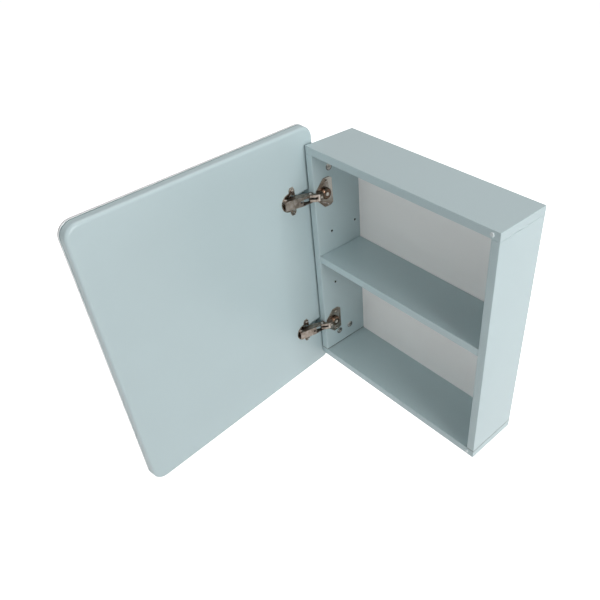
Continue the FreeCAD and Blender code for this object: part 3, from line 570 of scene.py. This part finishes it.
def spreadPiece(name, tree, spots, values, body, replaced=()):
    mesh = bpy.data.meshes.new(name)
    mesh.from_pydata(spots, [], [])
    piece = addPiece(name, mesh)
    modifier = piece.modifiers.new("spread", "NODES")
    modifier.node_group = tree
    for item in tree.interface.items_tree:
        if item.in_out == "INPUT" and item.name in values:
            modifier[item.identifier] = values[item.name]
    plainMesh(piece)
    smoothMesh(piece.data, meshLook["sharpHead"])
    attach(piece, body)
    if replaced:
        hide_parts(*replaced)


doorFrame = {
    "openAngle": math.radians(84.57),
    "base": (-0.2264, -0.118),
}


def doorPoint(along, out, z):
    turn = doorFrame["openAngle"]
    return (doorFrame["base"][0] + along * math.cos(turn) + out * math.sin(turn),
            doorFrame["base"][1] - along * math.sin(turn) + out * math.cos(turn), z)


hingeHeights = (0.155, -0.163)


def bothSides(reach):
    return [z + side * reach for z in hingeHeights for side in (-1, 1)]


screwLook = {
    "radius": 0.0038,
    "height": 0.0018,
    "crossLength": 0.0046,
    "crossWidth": 0.0010,
    "recess": 0.0012,
    "seed": 4,
    "finish": finishes["screwNickel"],
}
plateScrews = {
    "column": -0.089,
    "reach": 0.024,
    "seat": -0.204,
    "turn": (0, math.pi / 2, 0),
}
cupScrews = {
    "along": 0.0415,
    "reach": 0.0235,
    "seat": 0.0012,
    "turn": (0, math.pi / 2, math.pi / 2 - doorFrame["openAngle"]),
}
plateSpots = [(plateScrews["seat"], plateScrews["column"], z) for z in bothSides(plateScrews["reach"])]
cupSpots = [doorPoint(cupScrews["along"], cupScrews["seat"], z) for z in bothSides(cupScrews["reach"])]
spreadPiece("plate_screw_set", screwTree, plateSpots, {**screwLook, "turn": plateScrews["turn"]}, "carcass",
            ("upper_plate_screws", "lower_plate_screws"))
spreadPiece("cup_screw_set", screwTree, cupSpots, {**screwLook, "turn": cupScrews["turn"]}, "door",
            ("upper_cup_screws", "lower_cup_screws"))
rivetLook = {
    "radius": 0.0024,
    "height": 0.0004,
    "seed": 2,
    "finish": finishes["screwNickel"],
    "turn": (0, 0, 0),
}
armPivot = {
    "place": (-0.20744, -0.12663),
    "reach": 0.0093,
}
cupPivot = {
    "along": 0.060,
    "out": 0.003,
    "reach": 0.01095,
}
armRivets = [(*armPivot["place"], z) for z in bothSides(armPivot["reach"])]
cupRivets = [doorPoint(cupPivot["along"], cupPivot["out"], z) for z in bothSides(cupPivot["reach"])]
spreadPiece("arm_rivets", domeTree, armRivets, rivetLook, "carcass")
spreadPiece("cup_rivets", domeTree, cupRivets, rivetLook, "door")
print("fasteners: screws and rivets spread by nodes")

mirrorLook = {
    "rimShadeLine": -0.0192,  # painted shade line round the outer part of the rim
    "faceCosine": 0.97,
    "finishes": ("mirrorSilver", "rimPaintedHighlight", "rimPaintedShade"),
}


# mirror: silvered face, rim with a painted highlight, painted shade round its outer part
def makeMirror():
    piece = mergedCopy("mirror_glass", "mirror_pane")
    mesh = piece.data
    mesh.materials.clear()
    for name in mirrorLook["finishes"]:
        mesh.materials.append(finishes[name])
    turn = doorFrame["openAngle"]
    inward = Vector((math.sin(turn), math.cos(turn), 0))
    seam = Vector(doorPoint(0, mirrorLook["rimShadeLine"], 0))
    splitMesh(mesh, seam, inward)
    for face in mesh.polygons:
        if abs(face.normal.dot(inward)) > mirrorLook["faceCosine"]:
            face.material_index = 0
        else:
            # rim faces inside the line get the painted highlight, those outside it the painted shade
            face.material_index = 1 if (face.center - seam).dot(inward) > 0 else 2
    smoothMesh(mesh, meshLook["sharpBoard"])
    settle(piece, "mirror_glass")


makeMirror()
print("mirror: silvered pane")


# floor, light and camera

white = (1, 1, 1, 1)


def backgroundRays(tree):
    light = addNode(tree, "ShaderNodeLightPath")
    seen = mathNode(tree, "MAXIMUM", light.outputs["Is Camera Ray"], light.outputs["Is Transmission Ray"])
    return seen, light.outputs["Is Glossy Ray"]


floorLook = {
    "level": -0.75,
    "size": 60.0,
    "cells": 8,
    "glow": 0.95,
    "mirrored": 0.7,
    "tone": (0.55, 0.55, 0.55, 1),
    "rough": 0.9,
}


def makeFloor():
    cells = floorLook["cells"]
    work = bmesh.new()
    bmesh.ops.create_grid(work, x_segments=cells, y_segments=cells, size=floorLook["size"] / 2)
    mesh = bpy.data.meshes.new("floor")
    work.to_mesh(mesh)
    work.free()
    mesh.transform(Matrix.Translation((0, 0, floorLook["level"])))
    piece = addPiece("floor", mesh)
    finish, tree, shader = newMaterial("paleFloor")
    shader.inputs["Base Color"].default_value = floorLook["tone"]
    shader.inputs["Roughness"].default_value = floorLook["rough"]
    seen, glossy = backgroundRays(tree)
    mirrored = mathNode(tree, "MULTIPLY", glossy, floorLook["mirrored"])
    glow = addNode(tree, "ShaderNodeEmission")
    glow.inputs["Color"].default_value = white
    wire(tree, mathNode(tree, "MULTIPLY_ADD", seen, floorLook["glow"], mirrored), glow.inputs["Strength"])
    both = addNode(tree, "ShaderNodeAddShader")
    wire(tree, shader.outputs[0], both.inputs[0])
    wire(tree, glow.outputs[0], both.inputs[1])
    wire(tree, both.outputs[0], tree.nodes["Material Output"].inputs["Surface"])
    mesh.materials.append(finish)


worldLook = {
    "fill": 0.05,
    "background": 1.0,
    "wallHeight": (0.0, 0.6),
    "wallLight": (0.42, 0.95),  # walls darken towards the horizon in reflections
}


def makeWorld():
    world = bpy.data.worlds.new("studio")
    bpy.context.scene.world = world
    world.use_nodes = True
    tree = world.node_tree
    sky = tree.nodes["Background"]
    sky.inputs["Color"].default_value = white
    seen, glossy = backgroundRays(tree)
    heading = addNode(tree, "ShaderNodeTexCoord")
    parts = addNode(tree, "ShaderNodeSeparateXYZ")
    wire(tree, heading.outputs["Generated"], parts.inputs[0])
    walls = rangeNode(tree, parts.outputs["Z"], worldLook["wallHeight"], worldLook["wallLight"])
    mirrored = mixNode(tree, "FLOAT", glossy, worldLook["fill"], walls)
    wire(tree, mixNode(tree, "FLOAT", seen, mirrored, worldLook["background"]), sky.inputs["Strength"])


def makeLamp(name, place, aim, size, power, shines):
    data = bpy.data.lights.new(name, "AREA")
    data.shape = "SQUARE"
    data.size = size
    data.energy = power
    lamp = addPiece(name, data)
    lamp.location = place
    lamp.rotation_euler = (Vector(aim) - Vector(place)).to_track_quat("-Z", "Y").to_euler()
    lamp.visible_glossy = shines  # fill lamps leave no shape in the mirror


lamps = {
    "keyRight": {"place": (3.3, -0.25, 0.95), "aim": (0, -0.2, 0), "size": 1.6, "power": 77, "shines": True},
    "topSoft": {"place": (0.3, 0.2, 2.3), "aim": (0, -0.1, 0), "size": 1.6, "power": 23, "shines": True},
    "frontFill": {"place": (0.25, -2.8, 0.6), "aim": (0, -0.1, 0), "size": 1.0, "power": 18, "shines": False},
    "backFill": {"place": (0.9, 2.6, -0.1), "aim": (0, 0, 0), "size": 1.4, "power": 22, "shines": False},
    "leftFill": {"place": (-3.0, 0.9, 0.7), "aim": (-0.2, 0, 0), "size": 1.4, "power": 26, "shines": False},
}
makeFloor()
makeWorld()
for name, lamp in lamps.items():
    makeLamp(name, **lamp)

cameraLook = {
    "place": (0.64807, -0.78183, 0.72158),
    "ahead": (-0.54699, 0.55724, -0.62473),
    "right": (0.71435, 0.69979, -0.00127),
    "lens": 37.192,
    "sensor": 36,
    "shift": (-0.15, 0.025),
}


def makeCamera():
    data = bpy.data.cameras.new("photoCamera")
    data.lens = cameraLook["lens"]
    data.sensor_width = cameraLook["sensor"]
    data.shift_x, data.shift_y = cameraLook["shift"]
    camera = addPiece("photoCamera", data)
    ahead = Vector(cameraLook["ahead"]).normalized()
    right = Vector(cameraLook["right"]).normalized()
    turn = Matrix((right, right.cross(ahead), -ahead)).transposed()
    camera.matrix_world = Matrix.Translation(cameraLook["place"]) @ turn.to_4x4()
    bpy.context.scene.camera = camera


makeCamera()
bpy.context.scene.view_settings.view_transform = "Standard"
print("studio: floor, lamps and camera")
